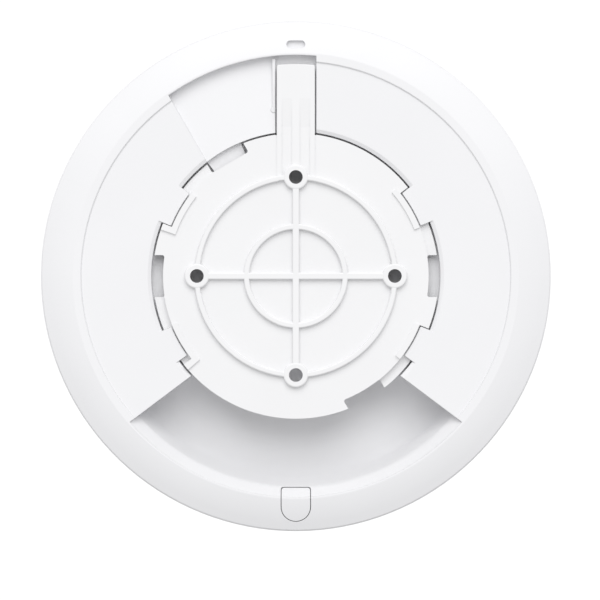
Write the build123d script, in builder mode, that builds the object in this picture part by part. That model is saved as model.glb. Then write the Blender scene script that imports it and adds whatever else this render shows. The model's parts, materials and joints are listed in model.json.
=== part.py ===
from build123d import *
import math
import os

# Ceiling access point, installed pose, millimetres.
# Origin: centre of the screw pattern on the ceiling plane (z = 0).
# +Z points up into the ceiling, +Y towards the latch arm, +X to the right seen from the ceiling side.

# ---- overall shape -------------------------------------------------------------------------
body_r = 80.0
body_depth = 31.5
crown_r = 400.0
crown_half_deg = 8.0
dome_wall = 2.0
seam_z = -6.0

# ---- back plate, lip and sloping rim band --------------------------------------------------
plate_top = -1.9
plate_bottom = -4.1
lip_top = -1.4
lip_inner_r = 67.0
lip_step = 0.25
lip_outer_r = 69.7
band_outer_r = 79.6
band_outer_top = -5.2
band_mid_r = 75.0
band_mid_top = -3.0
band_under_r = 77.6
skirt_r = 75.4
skirt_wall = 1.4
skirt_bottom = -10.5

# ---- bracket well and hooks ----------------------------------------------------------------
well_r = 45.2
well_wall = 1.8
well_floor_top = -6.5
well_floor_bottom = -7.8
well_chamfer = 1.1
well_chamfer_depth = 0.6
hook_inner_r = 42.05
hook_root_r = 46.6
hook_top = -1.9
hook_bottom = -3.3
hook_corner = 0.4
shelf_inner_r = 39.5
shelf_top = -4.5
shelf_span_deg = (112.4, 127.9)
screw_groove_half = 4.9
screw_groove_floor = -9.0
screw_groove_wall = 1.3
hook_spans_deg = [(22.0, 37.9), (142.3, 158.1), (202.3, 216.0), (323.8, 338.0)]

# ---- cable pocket --------------------------------------------------------------------------
pocket_floor = -19.7
pocket_foot_r = 60.8
pocket_foot_fillet = 10.5
pocket_shelf_r = 66.0
pocket_shelf_z = -5.2
pocket_shelf_fillet = 3.5
pocket_rim_r = 69.1
pocket_rim_z = -1.9
pocket_pan_top = -2.4
pocket_wall = 1.5
pocket_front_y = -14.0
pocket_front_half = 16.0
pocket_inner_half = 24.0
pocket_inner_y = -24.7
pocket_outer_half = 55.6
pocket_outer_y = -48.4
pocket_reach_y = -75.0

# ---- arm slot, sweep recess, ridge, release slot -------------------------------------------
slot_half = 6.4
slot_end_r = 69.1
slot_floor = -4.7
slot_inner_y = 40.0
pan_wall = 1.4
recess_inner_floor = -2.6
recess_outer_floor = -4.8
recess_outer_r = 69.1
recess_turn_deg = 30.0
recess_beyond = 6.25
ridge_width = 1.0
ridge_top = -3.0
ridge_inner_y = 52.0
ridge_outer_y = 68.0
ridge_bump_r = 0.9
release_length = 5.8
release_width = 2.4
release_y = 72.4
release_floor = -3.6

# ---- cable knockout ------------------------------------------------------------------------
knockout_half = 4.6
knockout_top_y = -66.2
knockout_round_y = -72.2
knockout_gap = 0.2
knockout_corner = 0.8
channel_floor = -6.5
channel_wall = 1.2

# ---- mounting bracket ----------------------------------------------------------------------
disc_r = 44.6
web_top = -1.7
web_bottom = -3.3
skirt_depth = -5.0
edge_skirt_wall = 1.4
skirt_gap_deg = (81.0, 131.0)
screw_circle_r = 30.9
screw_hole_r = 2.15
boss_r = 3.85
boss_corner = 0.5
countersink_r = 3.6
countersink_depth = 1.45
ring_rib = 1.7
outer_ring_r = 30.9
inner_ring_r = 15.4
cross_rib = 2.1
ring_rib_top = -0.1
unit_angles = [0, 120, 180, 300]
notch_half = 6.55
unit_start_deg = 8.0
notch_inner_r = 41.5
straight_notch_x = 40.98
straight_notch_unit = 120
notch_corner = 0.7
ledge_end_deg = 41.0
stop_start_deg = 38.4
hook_start_deg = 21.4
ledge_top = -3.6
ledge_bottom = -5.0
unit_wall_inner_r = 39.8
unit_wall_outer_r = 41.6
unit_wall_top = -1.0
stop_units = [120, 180]
long_wall_units = [0, 120, 180]
rib_corner = 0.4
cut_clear_r = 47.0

# ---- latch arm -----------------------------------------------------------------------------
arm_half = 5.95
arm_root_y = 44.0
arm_tip_r = 66.2
arm_top = -1.2
arm_bottom = -2.3
arm_foot_bottom = -3.7
arm_foot_y = 60.0
arm_corner = 0.7
arm_edge = 0.25
centre_rib_half = 1.2
side_rib_inner = 4.4
groove_floor = -1.7
groove_end_y = 46.5
groove_ramp_y = 55.5
disc_rib_top = -1.2

# ---- circuit board and its parts -----------------------------------------------------------
board_r = 60.0
board_top = -21.5
board_bottom = -23.1
post_circle_r = 54.0
post_angles = [25, 155, 205, 335]
post_r = 3.2
post_hole_r = 1.15
post_hole_depth = 9.0
post_gap = 1.0
board_hole_r = 1.7
screw_shank_r = 1.1
screw_head_r = 2.7
screw_head = 1.8
screw_length = 8.0
drive_r = 1.2
drive_depth = 1.0

can_sheet = 0.3
can_height = 3.0
processor_can = (36.0, 30.0)
processor_can_at = (0.0, 30.0)
radio_can = (24.0, 20.0)
radio_can_x = 34.0
radio_can_y = 12.0
pad_height = 0.8
pad_margin = 5.0
spreader = 1.2
spreader_r = 57.0
spreader_low_y = 0.5
spreader_hold = 6.0
jack_keepout_half = 24.5
jack_keepout_y = 11.0
transformer_margin = 4.0

processor_size = (15.0, 15.0, 1.3)
memory_size = (7.0, 11.0, 1.0)
memory_x = 13.0
radio_chip_size = (8.0, 8.0, 0.9)
transformer_size = (13.0, 12.0, 8.5)
transformer_at = (-22.0, -4.5)
transformer_foot = 1.2
transformer_pin = 2.0
capacitor_r = 4.0
capacitor_height = 9.0
capacitor_places = [(19.0, -3.0), (17.0, 6.2)]
inductor_size = (7.0, 7.0, 3.2)
inductor_chamfer = 1.0
inductor_places = [(-35.0, -6.0), (-44.5, -6.0), (29.5, -5.0)]
crystal_size = (3.2, 2.5, 0.8)
crystal_places = [(-9.0, 12.6), (-25.0, 26.0), (25.0, 26.0)]

# ---- network jack and reset ----------------------------------------------------------------
jack_half = 8.3
jack_front_y = -12.4
jack_back_y = 8.6
jack_top = -8.0
jack_sheet = 0.3
port_half = 5.95
port_bottom = -19.6
port_top = -11.4
port_latch_half = 3.2
port_latch_top = -9.6
port_back_y = 2.6
port_margin = 0.35
contact_pitch = 1.02
contact_width = 0.4
contact_count = 8
contact_thick = 0.35
contact_tip_y = -8.0
contact_tip_z = -19.2
contact_root_z = -16.2
button_x = 13.0
button_z = -17.5
button_r = 1.1
button_hole_r = 1.3
button_flange_r = 1.8
button_face_y = -13.7
button_flange_y = -12.0
button_flange = 0.8
button_back_y = -9.2
switch_front_y = -8.85
switch_size = (4.5, 3.5, 5.5)

# ---- antennas, lights, front trim ----------------------------------------------------------
antenna_sheet = 0.4
antenna_plate_z = -25.4
low_antenna = (24.0, 9.0)
high_antenna = (14.0, 7.0)
antenna_r = 45.0
low_antenna_angles = [60, 240]
high_antenna_angles = [120, 300]
antenna_leg = 2.0
light_ring_inner_r = 16.4
light_ring_outer_r = 18.9
ring_depth = 2.6
ring_flange_inner_r = 15.0
ring_flange_outer_r = 20.2
ring_flange_bottom = -28.95
ring_flange = 0.55
cap_r = 16.3
opening_r = 19.0
light_tube_inner_r = 14.4
light_tube_outer_r = 20.8
light_tube_wall = 1.0
light_tube_bottom = -28.3
emitter_size = (3.0, 2.6, 0.9)
emitter_r = 17.6
emitter_count = 6
far = 90.0
above = 1.0
beyond_face = 1.0


def prism(sketch, bottom, top):
    """Straight solid of a sketch between two heights."""
    return Pos(0, 0, bottom) * extrude(sketch, amount=top - bottom, dir=(0, 0, 1))


def box_between(x0, x1, y0, y1, z0, z1):
    """Box given by its two opposite corners."""
    centre = Pos((x0 + x1) / 2, (y0 + y1) / 2, (z0 + z1) / 2)
    return centre * Box(x1 - x0, y1 - y0, z1 - z0)


def ring_sector(inner, outer, start_deg, end_deg):
    """Flat ring sector, angles counter-clockwise from +X, under half a turn."""
    reach = outer * 2
    points = [(0, 0)]
    for share in (0, 0.5, 1):
        turn = math.radians(start_deg + (end_deg - start_deg) * share)
        points.append((reach * math.cos(turn), reach * math.sin(turn)))
    return (Circle(outer) - Circle(inner)) & Polygon(*points, align=None)


def rounded_box(width, length, bottom, top, corner):
    """Upright box with rounded vertical corners, centred on the axis."""
    return prism(RectangleRounded(width, length, corner), bottom, top)


# ---- dome geometry: a shallow crown arc and a tangent shoulder arc ---------------------------
crown_centre_z = -body_depth + crown_r
crown_turn = math.radians(crown_half_deg)
joint_x = crown_r * math.sin(crown_turn)
joint_z = crown_centre_z - crown_r * math.cos(crown_turn)
chord_x = body_r - joint_x
chord_z = seam_z - joint_z
rise = -chord_x * math.sin(crown_turn) + chord_z * math.cos(crown_turn)
shoulder_r = (chord_x ** 2 + chord_z ** 2) / (2 * rise)
shoulder_x = joint_x - shoulder_r * math.sin(crown_turn)
shoulder_z = joint_z + shoulder_r * math.cos(crown_turn)


def dome_solid(inset):
    """Solid bounded by the dome surface moved inwards, open side at the seam height."""
    crown = crown_r - inset
    shoulder = shoulder_r - inset
    start_x = shoulder_x + shoulder * math.sin(crown_turn)
    start_z = shoulder_z - shoulder * math.cos(crown_turn)
    end_x = shoulder_x + math.sqrt(shoulder ** 2 - (shoulder_z - seam_z) ** 2)
    end_turn = math.asin((end_x - shoulder_x) / shoulder)
    mid_turn = (crown_turn + end_turn) / 2
    mid = (shoulder_x + shoulder * math.sin(mid_turn), shoulder_z - shoulder * math.cos(mid_turn))
    half_turn = crown_turn / 2
    crown_mid = (crown * math.sin(half_turn), crown_centre_z - crown * math.cos(half_turn))
    with BuildPart() as dome:
        with BuildSketch(Plane.XZ):
            with BuildLine():
                ThreePointArc((0, inset - body_depth), crown_mid, (start_x, start_z))
                ThreePointArc((start_x, start_z), mid, (end_x, seam_z))
                Line((end_x, seam_z), (0, seam_z))
                Line((0, seam_z), (0, inset - body_depth))
            make_face()
        revolve(axis=Axis.Z)
    return dome.part


dome_outside = dome_solid(0)
dome_inside = dome_solid(dome_wall)
dome_clear = dome_solid(dome_wall + knockout_gap)

# ---- cable pocket volumes --------------------------------------------------------------------
pocket_outline = [(0.0, pocket_floor), (pocket_foot_r, pocket_floor), (pocket_shelf_r, pocket_shelf_z),
                  (pocket_rim_r, pocket_rim_z)]


def side_normal(start, end):
    """Unit normal on the right-hand side of a line from start to end."""
    length = math.hypot(end[0] - start[0], end[1] - start[1])
    return ((end[1] - start[1]) / length, -(end[0] - start[0]) / length)


def grown_outline(points, grow):
    """Outline moved sideways by a distance, corners kept sharp."""
    normals = [side_normal(a, b) for a, b in zip(points, points[1:])]
    moved = []
    for index, (x, z) in enumerate(points):
        before = normals[max(index - 1, 0)]
        after = normals[min(index, len(normals) - 1)]
        share = grow / (1 + before[0] * after[0] + before[1] * after[1])
        moved.append((x + share * (before[0] + after[0]), z + share * (before[1] + after[1])))
    return moved


def pocket_volume(grow, top):
    """Pocket hollow, or the hollow grown by a wall, below a given height."""
    start, foot, shelf, rim = grown_outline(pocket_outline, grow)
    with BuildPart() as bowl:
        with BuildSketch(Plane.XZ):
            with BuildLine():
                FilletPolyline(start, foot, shelf, rim,
                               radius=[pocket_foot_fillet + grow, pocket_shelf_fillet - grow])
                Line(rim, (rim[0], above))
                Line((rim[0], above), (0, above))
                Line((0, above), start)
            make_face()
        revolve(axis=Axis.Z)
    right = [(pocket_front_half, pocket_front_y), (pocket_inner_half, pocket_inner_y),
             (pocket_outer_half, pocket_outer_y), (pocket_outer_half, pocket_reach_y)]
    left = [(-x, y) for x, y in reversed(right)]
    plan = Polygon(*(right + left), align=None)
    if grow > 0:
        plan = offset(plan, amount=grow, kind=Kind.INTERSECTION)
    return bowl.part & prism(plan, start[1], top)


pocket_hollow = pocket_volume(0, above)
pocket_pan = pocket_volume(pocket_wall, pocket_pan_top)

# ---- sweep recess plan -----------------------------------------------------------------------
sweep = math.radians(90 + recess_turn_deg)
along = (math.cos(sweep), math.sin(sweep))
beyond = (-math.sin(sweep), math.cos(sweep))


def recess_plan(edge, inner, outer):
    """Ring part swept by the arm, from the slot edge to a line beside the arm's other end pose."""
    near = (beyond[0] * edge + along[0] * inner / 2, beyond[1] * edge + along[1] * inner / 2)
    distant = (beyond[0] * edge + along[0] * far, beyond[1] * edge + along[1] * far)
    start_x = ridge_width - slot_half
    points = [(start_x, inner / 2), (start_x, far), (distant[0], far), distant, near]
    return (Circle(outer) - Circle(inner)) & Polygon(*points, align=None)


def recess_volume(edge, outer, drop, top):
    """Recess with a floor that falls towards the rim, or the pan under it."""
    with BuildPart() as dish:
        with BuildSketch(Plane.XZ):
            Polygon((well_r, recess_inner_floor - drop), (outer, recess_outer_floor - drop), (outer, top),
                    (well_r, top), align=None)
        revolve(axis=Axis.Z)
    return dish.part & prism(recess_plan(edge, well_r, outer), recess_outer_floor - drop, top)


def knockout_plan(half):
    """U shape: straight inner end with small corners, round outer end."""
    grow = half - knockout_half
    top_y = knockout_top_y + grow
    centre_y = (knockout_round_y + top_y) / 2
    flat = Pos(0, centre_y) * Rectangle(2 * half, top_y - knockout_round_y)
    flat = fillet(flat.vertices().group_by(Axis.Y)[-1], knockout_corner)
    return flat + Pos(0, knockout_round_y) * Circle(half)


# ---- rear cover --------------------------------------------------------------------------------
with BuildPart() as cover_shell:
    with BuildSketch(Plane.XZ):
        with BuildLine():
            Line((0, plate_top), (lip_inner_r, plate_top))
            Line((lip_inner_r, plate_top), (lip_inner_r + lip_step, lip_top))
            Line((lip_inner_r + lip_step, lip_top), (lip_outer_r, lip_top))
            ThreePointArc((lip_outer_r, lip_top), (band_mid_r, band_mid_top),
                          (band_outer_r, band_outer_top))
            Line((band_outer_r, band_outer_top), (band_outer_r, seam_z))
            Line((band_outer_r, seam_z), (band_under_r, seam_z))
            Line((band_under_r, seam_z), (lip_outer_r, plate_bottom))
            Line((lip_outer_r, plate_bottom), (0, plate_bottom))
            Line((0, plate_bottom), (0, plate_top))
        make_face()
    revolve(axis=Axis.Z)
    add(pocket_pan)
    add(pocket_hollow, mode=Mode.SUBTRACT)

hole_plan = knockout_plan(knockout_half + knockout_gap / 2)
tab_plan = knockout_plan(knockout_half - knockout_gap / 2)
wall_plan = knockout_plan(knockout_half + channel_wall)
channel_pan = (prism(wall_plan, channel_floor - channel_wall, band_outer_top) & dome_clear) - pocket_hollow

slot_hollow = prism(Circle(slot_end_r), slot_floor, above)
slot_hollow = slot_hollow & box_between(-slot_half, slot_half, slot_inner_y, far, slot_floor, above)
slot_pan = prism(Circle(slot_end_r + pan_wall), slot_floor - pan_wall, plate_bottom)
slot_pan = slot_pan & box_between(-slot_half - pan_wall, slot_half + pan_wall, slot_inner_y, far,
                                  slot_floor - pan_wall, plate_bottom)
recess_hollow = recess_volume(recess_beyond, recess_outer_r, 0, above)
recess_pan = recess_volume(recess_beyond + pan_wall, recess_outer_r + pan_wall, pan_wall,
                           recess_inner_floor)

ridge_root = recess_outer_floor - pan_wall / 2
ridge = box_between(-slot_half - ridge_width, -slot_half, ridge_inner_y, ridge_outer_y, ridge_root,
                    ridge_top)
bump = Pos(-slot_half - ridge_width + ridge_bump_r / 2, ridge_inner_y, 0) * prism(
    Circle(ridge_bump_r), ridge_root, ridge_top)
bump = bump & box_between(-far, -slot_half, 0, far, -far, 0)


def hook(start_deg, end_deg):
    """Inward hook of the well with rounded inner corners."""
    block = prism(ring_sector(hook_inner_r, hook_root_r, start_deg, end_deg), hook_bottom, hook_top)
    inner = [e for e in block.edges().filter_by(Axis.Z)
             if math.hypot(e.center().X, e.center().Y) < hook_inner_r + hook_corner]
    return fillet(inner, hook_corner)


hooks = [hook(a, b) for a, b in hook_spans_deg]
shelf = prism(ring_sector(shelf_inner_r, well_r + well_wall / 2, *shelf_span_deg), well_floor_bottom,
              shelf_top)
knockout_hole = prism(hole_plan, channel_floor, above)
port_hole = box_between(-port_half - port_margin, port_half + port_margin,
                        pocket_front_y - pocket_wall, pocket_front_y + 2 * pocket_wall,
                        port_bottom, port_latch_top + port_margin)
spreader_top = board_top + can_height + pad_height + spreader
post_places = [(post_circle_r * math.cos(math.radians(a)), post_circle_r * math.sin(math.radians(a)))
               for a in post_angles]

with BuildPart() as rear_cover:
    add(cover_shell.part)
    add(channel_pan)
    add(slot_pan)
    add(recess_pan)
    # the well for the bracket, with a bevelled top edge
    with BuildSketch(Plane.XY.offset(well_floor_bottom)):
        Circle(well_r + well_wall)
    extrude(amount=plate_bottom - well_floor_bottom)
    with BuildSketch(Plane.XY.offset(well_floor_top)):
        Circle(well_r)
    extrude(amount=above - well_floor_top, mode=Mode.SUBTRACT)
    with BuildSketch(Plane.XZ):
        Polygon((well_r - beyond_face, plate_top), (well_r + well_chamfer, plate_top),
                (well_r, plate_top - well_chamfer_depth),
                (well_r - beyond_face, plate_top - well_chamfer_depth), align=None)
    revolve(axis=Axis.Z, mode=Mode.SUBTRACT)
    # arm slot and the area the arm sweeps while the housing turns
    add(recess_hollow, mode=Mode.SUBTRACT)
    add(slot_hollow, mode=Mode.SUBTRACT)
    add(ridge)
    add(bump)
    add(pocket_hollow, mode=Mode.SUBTRACT)
    add(hooks)
    add(shelf)
    # skirt that locates the dome
    with BuildSketch(Plane.XY.offset(skirt_bottom)):
        Circle(skirt_r)
        Circle(skirt_r - skirt_wall, mode=Mode.SUBTRACT)
    extrude(amount=plate_bottom - skirt_bottom - above)
    # posts that carry the circuit board
    with BuildSketch(Plane.XY.offset(board_top)):
        with Locations(post_places):
            Circle(post_r)
    extrude(amount=plate_bottom - board_top)
    with BuildSketch(Plane.XY.offset(board_top)):
        with Locations(post_places):
            Circle(post_hole_r)
    extrude(amount=post_hole_depth, mode=Mode.SUBTRACT)
    # ribs that hold the heat spreader down
    with BuildSketch(Plane.XY.offset(spreader_top)):
        with Locations((0, processor_can_at[1] + spreader_hold)):
            Rectangle(processor_can[0] / 2, pan_wall)
        with Locations((-radio_can_x, radio_can_y), (radio_can_x, radio_can_y)):
            Rectangle(pan_wall, radio_can[1] / 2)
    extrude(amount=well_floor_bottom - spreader_top)
    # ring groove that lets screw heads pass while the housing turns
    with BuildSketch(Plane.XY.offset(screw_groove_floor - screw_groove_wall)):
        Circle(screw_circle_r + screw_groove_half + screw_groove_wall)
        Circle(screw_circle_r - screw_groove_half - screw_groove_wall, mode=Mode.SUBTRACT)
    extrude(amount=well_floor_bottom - screw_groove_floor + screw_groove_wall)
    with BuildSketch(Plane.XY.offset(screw_groove_floor)):
        Circle(screw_circle_r + screw_groove_half)
        Circle(screw_circle_r - screw_groove_half, mode=Mode.SUBTRACT)
    extrude(amount=well_floor_top - screw_groove_floor, mode=Mode.SUBTRACT)
    add(pocket_hollow, mode=Mode.SUBTRACT)
    # release slot, knockout hole, port and reset hole
    with BuildSketch(Plane.XY.offset(release_floor)):
        with Locations((0, release_y)):
            SlotOverall(release_length, release_width)
    extrude(amount=above - release_floor, mode=Mode.SUBTRACT)
    add(knockout_hole, mode=Mode.SUBTRACT)
    add(port_hole, mode=Mode.SUBTRACT)
    with BuildSketch(Plane.XZ.offset(-pocket_front_y - 2 * pocket_wall)):
        with Locations((button_x, button_z)):
            Circle(button_hole_r)
    extrude(amount=3 * pocket_wall, mode=Mode.SUBTRACT)
rear_cover.part.label = "rear_cover"

knockout_body = prism(tab_plan, channel_floor + knockout_gap, above)

with BuildPart() as cable_knockout:
    add(cover_shell.part)
    add(knockout_body, mode=Mode.INTERSECT)
cable_knockout.part.label = "cable_knockout"

# ---- front cover and trim ------------------------------------------------------------------------
with BuildPart() as front_cover:
    add(dome_outside)
    add(dome_inside, mode=Mode.SUBTRACT)
    with BuildSketch(Plane.XY.offset(-body_depth)):
        Circle(opening_r)
    extrude(amount=body_depth / 2, mode=Mode.SUBTRACT)
front_cover.part.label = "front_cover"

with BuildPart() as status_light_ring:
    add(dome_outside)
    with BuildSketch(Plane.XY.offset(-body_depth)):
        Circle(light_ring_outer_r)
        Circle(light_ring_inner_r, mode=Mode.SUBTRACT)
    extrude(amount=ring_depth, mode=Mode.INTERSECT)
    with BuildSketch(Plane.XY.offset(ring_flange_bottom)):
        Circle(ring_flange_outer_r)
        Circle(ring_flange_inner_r, mode=Mode.SUBTRACT)
    extrude(amount=ring_flange)
status_light_ring.part.label = "status_light_ring"

with BuildPart() as centre_cap:
    add(dome_outside)
    add(dome_inside, mode=Mode.SUBTRACT)
    with BuildSketch(Plane.XY.offset(-body_depth)):
        Circle(cap_r)
    extrude(amount=body_depth / 2, mode=Mode.INTERSECT)
centre_cap.part.label = "centre_cap"

# ---- mounting bracket ------------------------------------------------------------------------------
screw_places = [(screw_circle_r, 0), (0, screw_circle_r), (-screw_circle_r, 0), (0, -screw_circle_r)]
unit_cuts = []
unit_adds = []
notches = []
for angle in unit_angles:
    unit_start = angle + unit_start_deg
    hook_from = angle + hook_start_deg
    hook_to = angle + stop_start_deg
    unit_end = angle + ledge_end_deg if angle in stop_units else hook_to
    gap = ring_sector(unit_wall_outer_r, cut_clear_r, unit_start, unit_end)
    unit_cuts.append(prism(gap, skirt_depth - beyond_face, above))
    ledge = ring_sector(unit_wall_inner_r, disc_r, unit_start, unit_end)
    unit_adds.append(prism(ledge, ledge_bottom, ledge_top))
    low_wall = ring_sector(unit_wall_inner_r, unit_wall_outer_r, unit_start, unit_end)
    unit_adds.append(prism(low_wall, ledge_bottom, web_top))
    wall_end = angle + ledge_end_deg if angle in long_wall_units else hook_to
    high_wall = ring_sector(unit_wall_inner_r, unit_wall_outer_r, hook_from, wall_end)
    unit_adds.append(prism(high_wall, web_bottom, unit_wall_top))
    if angle in stop_units:
        stop = ring_sector(unit_wall_inner_r, disc_r, hook_to, unit_end)
        unit_adds.append(prism(stop, ledge_bottom, unit_wall_top))
    notch = prism(Circle(cut_clear_r) - Circle(notch_inner_r), skirt_depth - beyond_face, above)
    notch = notch & box_between(0, cut_clear_r, -notch_half, notch_half, skirt_depth - beyond_face, above)
    if angle == straight_notch_unit:
        notch = box_between(straight_notch_x, cut_clear_r, -notch_half, notch_half,
                            skirt_depth - beyond_face, above)
    notch = fillet(notch.edges().filter_by(Axis.Z).group_by(Axis.X)[0], notch_corner)
    notches.append(Rot(0, 0, angle) * notch)

arm_end_cut = box_between(-slot_half, slot_half, arm_root_y, cut_clear_r, skirt_depth - beyond_face, above)
skirt_gap = prism(ring_sector(disc_r - edge_skirt_wall - beyond_face, cut_clear_r, *skirt_gap_deg),
                  skirt_depth - beyond_face, web_bottom)
boss = prism(Circle(boss_r), web_bottom, 0)
boss = fillet(boss.faces().sort_by(Axis.Z)[-1].edges(), boss_corner)

with BuildPart() as rib_net:
    with BuildSketch(Plane.XY.offset(web_top)):
        for ring_r in (outer_ring_r, inner_ring_r):
            Circle(ring_r + ring_rib / 2)
            Circle(ring_r - ring_rib / 2, mode=Mode.SUBTRACT)
        Rectangle(2 * screw_circle_r, cross_rib)
        Rectangle(cross_rib, 2 * screw_circle_r)
    extrude(amount=ring_rib_top - web_top)
    fillet(rib_net.faces().sort_by(Axis.Z)[-1].edges(), rib_corner)

with BuildPart() as mounting_bracket:
    with BuildSketch(Plane.XY.offset(web_bottom)):
        Circle(disc_r)
    extrude(amount=web_top - web_bottom)
    with BuildSketch(Plane.XY.offset(skirt_depth)):
        Circle(disc_r)
        Circle(disc_r - edge_skirt_wall, mode=Mode.SUBTRACT)
    extrude(amount=web_bottom - skirt_depth)
    add(skirt_gap, mode=Mode.SUBTRACT)
    # ring ribs and cross ribs on the ceiling side
    add(rib_net.part)
    # ribs that carry the latch arm
    with BuildSketch(Plane.XY.offset(web_top)):
        with Locations((0, (screw_circle_r + arm_root_y) / 2)):
            Rectangle(2 * centre_rib_half, arm_root_y - screw_circle_r)
        side_width = arm_half - side_rib_inner
        with Locations((-side_rib_inner - side_width / 2, (outer_ring_r + arm_root_y) / 2),
                       (side_rib_inner + side_width / 2, (outer_ring_r + arm_root_y) / 2)):
            Rectangle(side_width, arm_root_y - outer_ring_r + ring_rib)
    extrude(amount=disc_rib_top - web_top)
    # screw bosses
    add([Pos(x, y) * boss for x, y in screw_places])
    add(unit_cuts, mode=Mode.SUBTRACT)
    add(unit_adds)
    add(notches, mode=Mode.SUBTRACT)
    # flat end where the arm starts
    add(arm_end_cut, mode=Mode.SUBTRACT)
    with BuildSketch(Plane.XY.offset(web_bottom)):
        with Locations(screw_places):
            Circle(screw_hole_r)
    extrude(amount=above - web_bottom, mode=Mode.SUBTRACT)
    with Locations([(x, y, web_bottom + countersink_depth / 2) for x, y in screw_places]):
        Cone(countersink_r, screw_hole_r, countersink_depth, mode=Mode.SUBTRACT)
mounting_bracket.part.label = "mounting_bracket"

arm_blank = prism(Circle(arm_tip_r), arm_foot_bottom, arm_top)
arm_blank = arm_blank & (box_between(-arm_half, arm_half, arm_root_y, far, arm_bottom, arm_top)
                         + box_between(-arm_half, arm_half, arm_foot_y, far, arm_foot_bottom, arm_top))
groove_width = side_rib_inner - centre_rib_half

with BuildPart() as latch_arm:
    add(arm_blank)
    fillet(latch_arm.edges().filter_by(Axis.Z).group_by(Axis.Y)[-1], arm_corner)
    fillet(latch_arm.faces().sort_by(Axis.Z)[-1].edges().filter_by(lambda e: e.center().Y > groove_end_y),
           arm_edge)
    for side in (-1, 1):
        with BuildSketch(Plane.YZ.offset(side * (centre_rib_half + groove_width / 2))):
            Polygon((arm_root_y - beyond_face, groove_floor), (groove_end_y, groove_floor),
                    (groove_ramp_y, arm_top), (groove_ramp_y, above), (arm_root_y - beyond_face, above),
                    align=None)
        extrude(amount=groove_width / 2, both=True, mode=Mode.SUBTRACT)
latch_arm.part.label = "latch_arm"

# ---- circuit board ----------------------------------------------------------------------------------
with BuildPart() as main_board:
    with BuildSketch(Plane.XY.offset(board_bottom)):
        Circle(board_r)
        with Locations(post_places):
            Circle(board_hole_r, mode=Mode.SUBTRACT)
    extrude(amount=board_top - board_bottom)
main_board.part.label = "main_board"


def shield_can(size, place):
    """Sheet metal lid, open towards the board."""
    corner = 2 * can_sheet
    lid = rounded_box(size[0], size[1], board_top, board_top + can_height, corner)
    space = rounded_box(size[0] - 2 * can_sheet, size[1] - 2 * can_sheet, board_top,
                        board_top + can_height - can_sheet, can_sheet)
    return Pos(place[0], place[1]) * (lid - space)


radio_places = [(-radio_can_x, radio_can_y), (radio_can_x, radio_can_y)]
can_top = board_top + can_height
pad_top = can_top + pad_height

processor_lid = shield_can(processor_can, processor_can_at)
low_band_lid = shield_can(radio_can, radio_places[0])
high_band_lid = shield_can(radio_can, radio_places[1])

with BuildPart() as processor_shield_can:
    add(processor_lid)
processor_shield_can.part.label = "processor_shield_can"

with BuildPart() as radio_shield_can_low_band:
    add(low_band_lid)
radio_shield_can_low_band.part.label = "radio_shield_can_low_band"

with BuildPart() as radio_shield_can_high_band:
    add(high_band_lid)
radio_shield_can_high_band.part.label = "radio_shield_can_high_band"

with BuildPart() as thermal_pads:
    with BuildSketch(Plane.XY.offset(can_top)):
        with Locations(processor_can_at):
            Rectangle(processor_can[0] - pad_margin, processor_can[1] - pad_margin)
        with Locations(radio_places):
            Rectangle(radio_can[0] - pad_margin, radio_can[1] - pad_margin)
    extrude(amount=pad_height)
thermal_pads.part.label = "thermal_pads"

with BuildPart() as heat_spreader:
    with BuildSketch(Plane.XY.offset(pad_top)):
        Circle(spreader_r)
        with Locations((0, spreader_low_y - far / 2)):
            Rectangle(2 * far, far, mode=Mode.SUBTRACT)
        with Locations((0, jack_keepout_y - far / 2)):
            Rectangle(2 * jack_keepout_half, far, mode=Mode.SUBTRACT)
        with Locations(post_places):
            Circle(post_r + post_gap, mode=Mode.SUBTRACT)
        with Locations(transformer_at):
            Rectangle(transformer_size[0] + 2 * transformer_margin,
                      transformer_size[1] + 2 * transformer_margin, mode=Mode.SUBTRACT)
    extrude(amount=spreader)
heat_spreader.part.label = "heat_spreader"


def chips(size, places):
    """Flat packages standing on the ceiling side of the board."""
    return [Pos(x, y, board_top + size[2] / 2) * Box(*size) for x, y in places]


processor_solid = chips(processor_size, [processor_can_at])
memory_solids = chips(memory_size, [(-memory_x, processor_can_at[1]), (memory_x, processor_can_at[1])])
radio_solids = chips(radio_chip_size, radio_places)
inductor_solids = chips(inductor_size, inductor_places)
crystal_solids = chips(crystal_size, crystal_places)
transformer_body = Pos(*transformer_at) * rounded_box(
    transformer_size[0], transformer_size[1], board_top + transformer_foot,
    board_top + transformer_size[2], transformer_foot)

with BuildPart() as processor_chip:
    add(processor_solid)
processor_chip.part.label = "processor_chip"

with BuildPart() as memory_chips:
    add(memory_solids)
memory_chips.part.label = "memory_chips"

with BuildPart() as radio_chips:
    add(radio_solids)
radio_chips.part.label = "radio_chips"

with BuildPart() as power_transformer:
    add(transformer_body)
    with BuildSketch(Plane.XY.offset(board_top)):
        with Locations(transformer_at):
            with GridLocations(transformer_size[0] - transformer_pin, transformer_size[1] - transformer_pin,
                               2, 2):
                Rectangle(transformer_pin, transformer_pin)
    extrude(amount=transformer_foot)
power_transformer.part.label = "power_transformer"

with BuildPart() as power_capacitors:
    with BuildSketch(Plane.XY.offset(board_top)):
        with Locations(capacitor_places):
            Circle(capacitor_r)
    extrude(amount=capacitor_height)
    fillet(power_capacitors.faces().sort_by(Axis.Z)[-2:].edges(), boss_corner)
power_capacitors.part.label = "power_capacitors"

with BuildPart() as power_inductors:
    add(inductor_solids)
    chamfer(power_inductors.edges().filter_by(Axis.Z), inductor_chamfer)
power_inductors.part.label = "power_inductors"

with BuildPart() as crystal_oscillators:
    add(crystal_solids)
crystal_oscillators.part.label = "crystal_oscillators"

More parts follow.
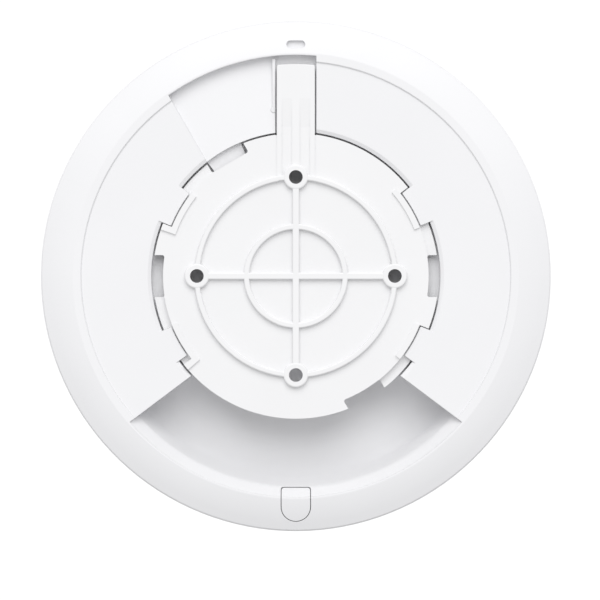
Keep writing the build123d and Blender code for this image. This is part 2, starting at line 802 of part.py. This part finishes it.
with BuildPart() as board_screws:
    with BuildSketch(Plane.XY.offset(board_bottom - screw_head)):
        with Locations(post_places):
            Circle(screw_head_r)
    extrude(amount=screw_head)
    fillet(board_screws.faces().sort_by(Axis.Z)[:4].edges(), boss_corner)
    with BuildSketch(Plane.XY.offset(board_bottom)):
        with Locations(post_places):
            Circle(screw_shank_r)
    extrude(amount=screw_length)
    with BuildSketch(Plane.XY.offset(board_bottom - screw_head)):
        with Locations(post_places):
            RegularPolygon(drive_r, 6)
    extrude(amount=drive_depth, mode=Mode.SUBTRACT)
board_screws.part.label = "board_screws"

# ---- network jack --------------------------------------------------------------------------------------
jack_box = box_between(-jack_half, jack_half, jack_front_y, jack_back_y, board_top, jack_top)
jack_core = box_between(-jack_half + jack_sheet, jack_half - jack_sheet, jack_front_y + jack_sheet,
                        jack_back_y - jack_sheet, board_top, jack_top - jack_sheet)
port_body = box_between(-port_half, port_half, jack_front_y - beyond_face, port_back_y, port_bottom, port_top)
port_latch = box_between(-port_latch_half, port_latch_half, jack_front_y - beyond_face, port_back_y,
                         port_top - beyond_face, port_latch_top)
port_space = port_body + port_latch

with BuildPart() as network_jack_shell:
    add(jack_box)
    add(jack_core, mode=Mode.SUBTRACT)
    add(port_space, mode=Mode.SUBTRACT)
network_jack_shell.part.label = "network_jack_shell"

with BuildPart() as network_jack_insert:
    add(jack_core)
    add(port_space, mode=Mode.SUBTRACT)
network_jack_insert.part.label = "network_jack_insert"

with BuildPart() as jack_contacts:
    for number in range(contact_count):
        x = (number - (contact_count - 1) / 2) * contact_pitch
        with BuildSketch(Plane.YZ.offset(x)):
            Polygon((contact_tip_y, contact_tip_z), (port_back_y, contact_root_z),
                    (port_back_y, contact_root_z + contact_thick),
                    (contact_tip_y, contact_tip_z + contact_thick), align=None)
        extrude(amount=contact_width / 2, both=True)
jack_contacts.part.label = "jack_contacts"

# ---- reset ----------------------------------------------------------------------------------------------
with BuildPart() as reset_button:
    with BuildSketch(Plane.XZ.offset(-button_back_y)):
        with Locations((button_x, button_z)):
            Circle(button_r)
    extrude(amount=button_back_y - button_face_y)
    with BuildSketch(Plane.XZ.offset(-button_flange_y - button_flange)):
        with Locations((button_x, button_z)):
            Circle(button_flange_r)
    extrude(amount=button_flange)
reset_button.part.label = "reset_button"

switch_body = box_between(button_x - switch_size[0] / 2, button_x + switch_size[0] / 2,
                          switch_front_y, switch_front_y + switch_size[1],
                          board_top, board_top + switch_size[2])

with BuildPart() as reset_switch:
    add(switch_body)
reset_switch.part.label = "reset_switch"


# ---- antennas and lights -----------------------------------------------------------------------------------
def antenna(size, angle):
    """Stamped plate held off the dome side of the board by two legs."""
    length, width = size
    plate = box_between(-length / 2, length / 2, -width / 2, width / 2,
                        antenna_plate_z, antenna_plate_z + antenna_sheet)
    legs = box_between(-length / 2, -length / 2 + antenna_sheet, -antenna_leg / 2, antenna_leg / 2,
                       antenna_plate_z, board_bottom)
    feed = box_between(-length / 6, -length / 6 + antenna_leg, -width / 2, -width / 2 + antenna_sheet,
                       antenna_plate_z, board_bottom)
    window = box_between(-length / 8, length / 3, -width / 8, width / 8, -far, 0)
    return Rot(0, 0, angle - 90) * Pos(0, antenna_r, 0) * (plate + legs + feed - window)


low_antennas = [antenna(low_antenna, angle) for angle in low_antenna_angles]
high_antennas = [antenna(high_antenna, angle) for angle in high_antenna_angles]

with BuildPart() as low_band_antennas:
    add(low_antennas)
low_band_antennas.part.label = "low_band_antennas"

with BuildPart() as high_band_antennas:
    add(high_antennas)
high_band_antennas.part.label = "high_band_antennas"

with BuildPart() as light_emitters:
    with BuildSketch(Plane.XY.offset(board_bottom - emitter_size[2])):
        with PolarLocations(emitter_r, emitter_count):
            Rectangle(emitter_size[1], emitter_size[0])
    extrude(amount=emitter_size[2])
light_emitters.part.label = "light_emitters"

with BuildPart() as light_shield:
    with BuildSketch(Plane.XY.offset(light_tube_bottom)):
        Circle(light_tube_outer_r)
        Circle(light_tube_outer_r - light_tube_wall, mode=Mode.SUBTRACT)
        Circle(light_tube_inner_r + light_tube_wall)
        Circle(light_tube_inner_r, mode=Mode.SUBTRACT)
    extrude(amount=board_bottom - light_tube_bottom)
    with BuildSketch(Plane.XY.offset(light_tube_bottom)):
        Rectangle(2 * light_tube_outer_r, light_tube_wall)
        Circle(light_tube_inner_r + light_tube_wall / 2, mode=Mode.SUBTRACT)
    extrude(amount=light_tube_wall)
light_shield.part.label = "light_shield"

pieces = {
    "rear_cover": rear_cover, "cable_knockout": cable_knockout, "front_cover": front_cover,
    "status_light_ring": status_light_ring, "centre_cap": centre_cap,
    "mounting_bracket": mounting_bracket, "latch_arm": latch_arm, "main_board": main_board,
    "processor_shield_can": processor_shield_can,
    "radio_shield_can_low_band": radio_shield_can_low_band,
    "radio_shield_can_high_band": radio_shield_can_high_band, "thermal_pads": thermal_pads,
    "heat_spreader": heat_spreader, "processor_chip": processor_chip, "memory_chips": memory_chips,
    "radio_chips": radio_chips, "power_transformer": power_transformer,
    "power_capacitors": power_capacitors, "power_inductors": power_inductors,
    "crystal_oscillators": crystal_oscillators, "board_screws": board_screws,
    "network_jack_shell": network_jack_shell, "network_jack_insert": network_jack_insert,
    "jack_contacts": jack_contacts, "reset_button": reset_button, "reset_switch": reset_switch,
    "low_band_antennas": low_band_antennas, "high_band_antennas": high_band_antennas,
    "light_emitters": light_emitters, "light_shield": light_shield,
}

os.makedirs("parts", exist_ok=True)
for node, piece in pieces.items():
    export_step(piece.part, "parts/" + node + ".step")
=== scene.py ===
import json
import math

import bpy
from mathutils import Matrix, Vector

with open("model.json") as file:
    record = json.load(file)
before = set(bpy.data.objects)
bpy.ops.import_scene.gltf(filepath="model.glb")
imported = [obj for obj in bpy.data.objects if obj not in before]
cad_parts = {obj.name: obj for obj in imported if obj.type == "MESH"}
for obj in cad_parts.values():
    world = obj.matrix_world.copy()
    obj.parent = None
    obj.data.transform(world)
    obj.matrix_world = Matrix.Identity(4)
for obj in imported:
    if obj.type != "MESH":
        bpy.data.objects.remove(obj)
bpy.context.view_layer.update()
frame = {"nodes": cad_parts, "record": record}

# ---- camera: straight down on the ceiling side, +Y up in the picture --------------------------
VIEW_WIDTH = 0.1872          # width of the view at the back plate, metres
CAMERA_DISTANCE = 1.2
CAMERA_AIM = (0.0013, -0.0075)
SENSOR = 36.0                # millimetres
CLIP_NEAR, CLIP_FAR = 0.01, 50.0

# ---- light and stage ---------------------------------------------------------------------------
FLOOR_Z = -2.4
FLOOR_HALF = 12.0
FLOOR_SHADE = (0.95, 0.95, 0.95, 1)
FLOOR_ROUGHNESS = 0.9
KEY_TILT = 38.0              # degrees from straight down
KEY_SPREAD = 52.0            # angular size of the lamp, degrees
KEY_STRENGTH = 1.76
WORLD_STRENGTH = 0.69

MM = 0.001
MOULDED_EDGE = 0.35 * MM     # radius of the cover's softened edges


# ---- surface texture, scales in cells per metre ------------------------------------------------
TONE_DRIFT_SCALE = 35.0
TONE_DRIFT_LOW = 0.985       # darkest share of the plastic's shade
PLASTIC_GLOSS_SPREAD = 0.05
METAL_TONE_LOW = 0.86
PACKAGE_GRAIN_SCALE = 4500.0
PACKAGE_GLOSS_SPREAD = 0.08
DIFFUSER_CLOUD_SCALE = 260.0
DIFFUSER_FINE_SCALE = 5000.0
DIFFUSER_DEPTH = 0.002       # how far light travels in the ring, metres
TRACK_SCALE = 420.0
BOARD_GRAIN_SCALE = 2500.0
BEVEL_SAMPLES = 6


# ---- small node helpers --------------------------------------------------------------------------
def new_material(name):
    """Empty principled material and its main nodes."""
    material = bpy.data.materials.new(name)
    material.use_nodes = True
    nodes = material.node_tree.nodes
    shader = nodes["Principled BSDF"]
    return material, nodes, material.node_tree.links, shader


def object_noise(nodes, links, scale, detail=3.0, roughness=0.5):
    """Noise in object space; scale is in cells per metre."""
    place = nodes.new("ShaderNodeTexCoord")
    noise = nodes.new("ShaderNodeTexNoise")
    noise.inputs["Scale"].default_value = scale
    noise.inputs["Detail"].default_value = detail
    noise.inputs["Roughness"].default_value = roughness
    links.new(place.outputs["Object"], noise.inputs["Vector"])
    return noise


def ramp(nodes, links, source, low, high, start=0.3, end=0.7):
    """Colour ramp between two colours, driven by a value."""
    colours = nodes.new("ShaderNodeValToRGB")
    colours.color_ramp.elements[0].position = start
    colours.color_ramp.elements[0].color = (*low, 1)
    colours.color_ramp.elements[1].position = end
    colours.color_ramp.elements[1].color = (*high, 1)
    links.new(source, colours.inputs["Fac"])
    return colours


def map_range(nodes, links, source, low, high):
    """Value from 0..1 mapped to low..high."""
    mapped = nodes.new("ShaderNodeMapRange")
    mapped.inputs["To Min"].default_value = low
    mapped.inputs["To Max"].default_value = high
    links.new(source, mapped.inputs["Value"])
    return mapped


def add_bump(nodes, links, shader, source, depth, soften=0.0):
    """Bump of a real depth in metres; soften rounds the shading of moulded edges."""
    bump = nodes.new("ShaderNodeBump")
    if soften > 0:
        rounding = nodes.new("ShaderNodeBevel")
        rounding.samples = BEVEL_SAMPLES
        rounding.inputs["Radius"].default_value = soften
        links.new(rounding.outputs["Normal"], bump.inputs["Normal"])
    bump.inputs["Strength"].default_value = 1.0
    bump.inputs["Distance"].default_value = depth
    links.new(source, bump.inputs["Height"])
    links.new(bump.outputs["Normal"], shader.inputs["Normal"])


# ---- materials -------------------------------------------------------------------------------------
def moulded_plastic(name, shade, grain, depth, rough, soften=0.0):
    """White moulded plastic: faint tone drift and a fine spark-eroded texture."""
    material, nodes, links, shader = new_material(name)
    drift = object_noise(nodes, links, TONE_DRIFT_SCALE, 2.0)
    low = tuple(channel * TONE_DRIFT_LOW for channel in shade)
    tone = ramp(nodes, links, drift.outputs["Fac"], low, shade)
    links.new(tone.outputs["Color"], shader.inputs["Base Color"])
    fine = object_noise(nodes, links, grain, 4.0, 0.6)
    gloss = map_range(nodes, links, fine.outputs["Fac"],
                      rough - PLASTIC_GLOSS_SPREAD, rough + PLASTIC_GLOSS_SPREAD)
    links.new(gloss.outputs["Result"], shader.inputs["Roughness"])
    add_bump(nodes, links, shader, fine.outputs["Fac"], depth, soften=soften)
    return material


def metal(name, colour, rough, scale, depth):
    """Plated or bare metal with fine uneven grain."""
    material, nodes, links, shader = new_material(name)
    shader.inputs["Metallic"].default_value = 1.0
    grain = object_noise(nodes, links, scale, 4.0, 0.6)
    low = tuple(channel * METAL_TONE_LOW for channel in colour)
    tone = ramp(nodes, links, grain.outputs["Fac"], low, colour)
    links.new(tone.outputs["Color"], shader.inputs["Base Color"])
    gloss = map_range(nodes, links, grain.outputs["Fac"], rough - 0.06, rough + 0.08)
    links.new(gloss.outputs["Result"], shader.inputs["Roughness"])
    add_bump(nodes, links, shader, grain.outputs["Fac"], depth)
    return material


def dark_plastic(name, colour, rough):
    """Dark moulded package or connector plastic."""
    material, nodes, links, shader = new_material(name)
    grain = object_noise(nodes, links, PACKAGE_GRAIN_SCALE, 3.0)
    high = tuple(min(1.0, channel * 1.5 + 0.01) for channel in colour)
    tone = ramp(nodes, links, grain.outputs["Fac"], colour, high)
    links.new(tone.outputs["Color"], shader.inputs["Base Color"])
    gloss = map_range(nodes, links, grain.outputs["Fac"],
                      rough - PACKAGE_GLOSS_SPREAD, rough + PACKAGE_GLOSS_SPREAD)
    links.new(gloss.outputs["Result"], shader.inputs["Roughness"])
    add_bump(nodes, links, shader, grain.outputs["Fac"], 0.01 * MM)
    return material


def light_diffuser(name):
    """Milky translucent ring with a faintly cloudy blue tint."""
    material, nodes, links, shader = new_material(name)
    cloud = object_noise(nodes, links, DIFFUSER_CLOUD_SCALE, 2.0)
    tone = ramp(nodes, links, cloud.outputs["Fac"], (0.42, 0.60, 0.82), (0.58, 0.74, 0.90))
    links.new(tone.outputs["Color"], shader.inputs["Base Color"])
    fine = object_noise(nodes, links, DIFFUSER_FINE_SCALE, 3.0)
    gloss = map_range(nodes, links, fine.outputs["Fac"], 0.28, 0.36)
    links.new(gloss.outputs["Result"], shader.inputs["Roughness"])
    shader.inputs["Subsurface Weight"].default_value = 0.5
    shader.inputs["Subsurface Radius"].default_value = (DIFFUSER_DEPTH,) * 3
    shader.inputs["Subsurface Scale"].default_value = 1.0
    return material


def circuit_board(name):
    """Solder mask with faint copper tracks under it."""
    material, nodes, links, shader = new_material(name)
    place = nodes.new("ShaderNodeTexCoord")
    tracks = nodes.new("ShaderNodeTexBrick")
    tracks.inputs["Scale"].default_value = TRACK_SCALE
    tracks.inputs["Mortar Size"].default_value = 0.03
    tracks.inputs["Color1"].default_value = (0.008, 0.06, 0.03, 1)
    tracks.inputs["Color2"].default_value = (0.010, 0.075, 0.035, 1)
    tracks.inputs["Mortar"].default_value = (0.02, 0.13, 0.06, 1)
    links.new(place.outputs["Object"], tracks.inputs["Vector"])
    links.new(tracks.outputs["Color"], shader.inputs["Base Color"])
    grain = object_noise(nodes, links, BOARD_GRAIN_SCALE)
    gloss = map_range(nodes, links, grain.outputs["Fac"], 0.30, 0.42)
    links.new(gloss.outputs["Result"], shader.inputs["Roughness"])
    add_bump(nodes, links, shader, tracks.outputs["Fac"], 0.02 * MM)
    return material


WHITE = (0.80, 0.80, 0.815)
# plastics: shade, grain scale, grain depth, roughness; metals: shade, roughness, grain scale, depth
slot_materials = {
    "cover_white": moulded_plastic("cover_white_plastic", WHITE, 5200.0, 0.006 * MM, 0.52,
                                   MOULDED_EDGE),
    "bracket_white": moulded_plastic("bracket_white_plastic", (0.81, 0.81, 0.82), 4200.0, 0.004 * MM, 0.42),
    "dome_white": moulded_plastic("dome_white_plastic", (0.79, 0.79, 0.80), 6500.0, 0.003 * MM, 0.38),
    "inner_white": moulded_plastic("inner_white_plastic", (0.72, 0.72, 0.72), 3500.0, 0.004 * MM, 0.5),
    "button_grey": moulded_plastic("button_grey_plastic", (0.20, 0.20, 0.21), 4500.0, 0.004 * MM, 0.45),
    "thermal_pad": moulded_plastic("thermal_pad_rubber", (0.26, 0.33, 0.42), 1500.0, 0.02 * MM, 0.8),
    "light_diffuser": light_diffuser("light_ring_diffuser"),
    "circuit_board": circuit_board("circuit_board_mask"),
    "tinned_steel": metal("tinned_steel", (0.70, 0.70, 0.68), 0.34, 900.0, 0.006 * MM),
    "spreader_aluminium": metal("spreader_aluminium", (0.80, 0.81, 0.82), 0.42, 3000.0, 0.008 * MM),
    "capacitor_aluminium": metal("capacitor_aluminium", (0.82, 0.83, 0.85), 0.25, 2000.0, 0.003 * MM),
    "crystal_steel": metal("crystal_steel", (0.76, 0.72, 0.62), 0.28, 2500.0, 0.003 * MM),
    "screw_steel": metal("screw_steel", (0.58, 0.58, 0.60), 0.32, 3000.0, 0.004 * MM),
    "jack_steel": metal("jack_steel", (0.74, 0.74, 0.73), 0.28, 1200.0, 0.004 * MM),
    "contact_gold": metal("contact_gold", (0.90, 0.66, 0.26), 0.22, 4000.0, 0.002 * MM),
    "antenna_brass": metal("antenna_brass", (0.80, 0.68, 0.42), 0.35, 1500.0, 0.004 * MM),
    "chip_black": dark_plastic("chip_black_package", (0.012, 0.012, 0.014), 0.55),
    "ferrite_black": dark_plastic("ferrite_black_package", (0.02, 0.02, 0.02), 0.7),
    "jack_black": dark_plastic("jack_black_plastic", (0.012, 0.012, 0.014), 0.4),
    "emitter_clear": dark_plastic("emitter_clear_package", (0.75, 0.72, 0.52), 0.25),
}

slot_of_node = {row["node"]: row["material_slot"] for row in frame["record"]["subparts"]}
for node, piece in frame["nodes"].items():
    for index in range(len(piece.material_slots)):
        piece.material_slots[index].material = slot_materials[slot_of_node[node]]


# ---- stage, light and camera ---------------------------------------------------------------------
def make_floor():
    """Plain pale floor, far below the part."""
    corners = [(-FLOOR_HALF, -FLOOR_HALF, FLOOR_Z), (FLOOR_HALF, -FLOOR_HALF, FLOOR_Z),
               (FLOOR_HALF, FLOOR_HALF, FLOOR_Z), (-FLOOR_HALF, FLOOR_HALF, FLOOR_Z)]
    mesh = bpy.data.meshes.new("floor")
    mesh.from_pydata(corners, [], [(0, 1, 2, 3)])
    floor = bpy.data.objects.new("floor", mesh)
    bpy.context.scene.collection.objects.link(floor)
    material, _, _, shader = new_material("floor_white")
    shader.inputs["Base Color"].default_value = FLOOR_SHADE
    shader.inputs["Roughness"].default_value = FLOOR_ROUGHNESS
    mesh.materials.append(material)


def make_sun(name, direction, spread, strength):
    """Soft directional light that shines along a direction."""
    light = bpy.data.lights.new(name, "SUN")
    light.angle = math.radians(spread)
    light.energy = strength
    lamp = bpy.data.objects.new(name, light)
    lamp.rotation_euler = Vector(direction).to_track_quat("-Z", "Y").to_euler()
    bpy.context.scene.collection.objects.link(lamp)


def make_world():
    """Even pale surroundings."""
    world = bpy.data.worlds.new("studio")
    world.use_nodes = True
    background = world.node_tree.nodes["Background"]
    background.inputs["Color"].default_value = (1, 1, 1, 1)
    background.inputs["Strength"].default_value = WORLD_STRENGTH
    bpy.context.scene.world = world


def make_camera():
    """Long lens straight above the ceiling side."""
    camera = bpy.data.cameras.new("camera")
    camera.sensor_width = SENSOR
    camera.lens = SENSOR * CAMERA_DISTANCE / VIEW_WIDTH
    camera.clip_start = CLIP_NEAR
    camera.clip_end = CLIP_FAR
    holder = bpy.data.objects.new("camera", camera)
    holder.location = (CAMERA_AIM[0], CAMERA_AIM[1], CAMERA_DISTANCE)
    bpy.context.scene.collection.objects.link(holder)
    bpy.context.scene.camera = holder


make_floor()
tilt = math.radians(KEY_TILT)
make_sun("key", (0, -math.sin(tilt), -math.cos(tilt)), KEY_SPREAD, KEY_STRENGTH)
make_world()
make_camera()
bpy.context.scene.view_settings.view_transform = "Standard"
